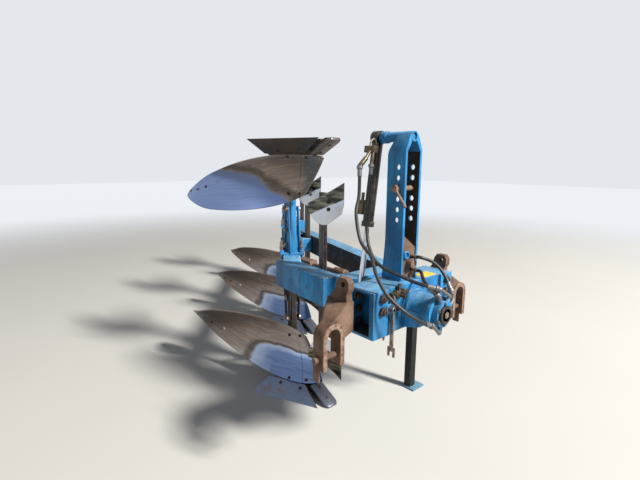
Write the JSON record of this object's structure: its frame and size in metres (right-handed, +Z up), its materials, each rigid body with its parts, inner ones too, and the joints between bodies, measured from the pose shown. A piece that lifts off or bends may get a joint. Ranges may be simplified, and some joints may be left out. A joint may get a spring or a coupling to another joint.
{
  "type": "moldboard plough",
  "caption": "Mounted reversible moldboard plough with upper and lower bodies on a beam frame, turned over by a cylinder on its tower, parked on its stand.",
  "frame": {"origin": "on the ground, at the centre of the whole plough's bounding box, on the row's z = 0", "axes": "+Z up, -Y towards the tractor, +X to the plough's left, all at rest as parked"},
  "size_m": [2.0552, 3.7714, 1.639],
  "materials": {
    "blue_paint": "weathered blue enamel, paler and chalky on top, chipped to rust at edges",
    "black_paint": "satin black enamel, dusty",
    "rusty_iron": "rusted cast and forged iron with old paint in places",
    "worn_steel": "soil-polished steel with fine scratches and patches of rust",
    "bare_steel": "bare steel with light rust",
    "rod_chrome": "hard chrome",
    "hose_rubber": "black hose rubber, dusty on top",
    "yellow_label": "blank yellow film"
  },
  "bodies": {
    "headstock": {"cross_box": "blue_paint", "pad_bolts": "rusty_iron", "cylinder_hoses": "hose_rubber", "tractor_hoses": "hose_rubber", "hose_fittings": "bare_steel", "tower": "blue_paint", "bearing_tube": "blue_paint", "swivel": "black_paint", "hitch_arm_right": "rusty_iron", "hitch_arm_left": "rusty_iron", "arm_bolts": "rusty_iron", "link_pins": "rusty_iron", "top_link_pin": "rusty_iron", "tower_foot_boss": "rusty_iron", "caution_label": "yellow_label", "bar_spanner": "bare_steel", "stand_sleeve": "blue_paint", "stand_pin": "bare_steel"},
    "stand": {"stand_leg": "blue_paint"},
    "barrel": {"cylinder_barrel": "black_paint", "cylinder_ports": "bare_steel", "cylinder_gland": "black_paint"},
    "rod": {"cylinder_rod": "rod_chrome"},
    "plough_frame": {"turnover_shaft": "bare_steel", "crank_yoke": "blue_paint", "head_beam": "blue_paint", "landside_beam": "blue_paint", "main_beam": "blue_paint", "brace_beam": "blue_paint", "adjusting_spindle": "rusty_iron", "leg_clamps": "blue_paint", "legs_lower": "blue_paint", "legs_upper": "blue_paint", "frogs_lower": "rusty_iron", "frogs_upper": "rusty_iron", "landsides_lower": "worn_steel", "landsides_upper": "worn_steel", "mouldboards_lower": "worn_steel", "mouldboards_upper": "worn_steel", "shins_lower": "worn_steel", "shins_upper": "worn_steel", "shares_lower": "worn_steel", "shares_upper": "worn_steel", "points_lower": "worn_steel", "points_upper": "worn_steel", "skimmer_stalks": "blue_paint", "skimmer_brackets": "blue_paint", "skimmers_lower": "worn_steel", "skimmers_upper": "worn_steel"}
  },
  "joints": [
    {"name": "turnover", "type": "hinge", "parent": "headstock", "child": "plough_frame", "pos_m": [-0.46, -1.509, 0.81], "axis": [0, 1, 0], "range_deg": [0, 180]},
    {"name": "barrel_swing", "type": "hinge", "parent": "headstock", "child": "barrel", "pos_m": [-0.46, -1.443, 1.605], "axis": [0, 1, 0], "range_deg": [-15.76, 0], "deforming": ["cylinder_hoses"]},
    {"name": "rod_slide", "type": "slide", "parent": "barrel", "child": "rod", "axis": [-0.1371, 0, -0.9906], "range_m": [-0.118, 0]},
    {"name": "stand_slide", "type": "slide", "parent": "headstock", "child": "stand", "axis": [0, 0, 1], "range_m": [0, 0.2]}
  ],
  "couplings": [
    {"joint": "barrel_swing", "follows": "turnover", "ratio": -0.08753}
  ]
}
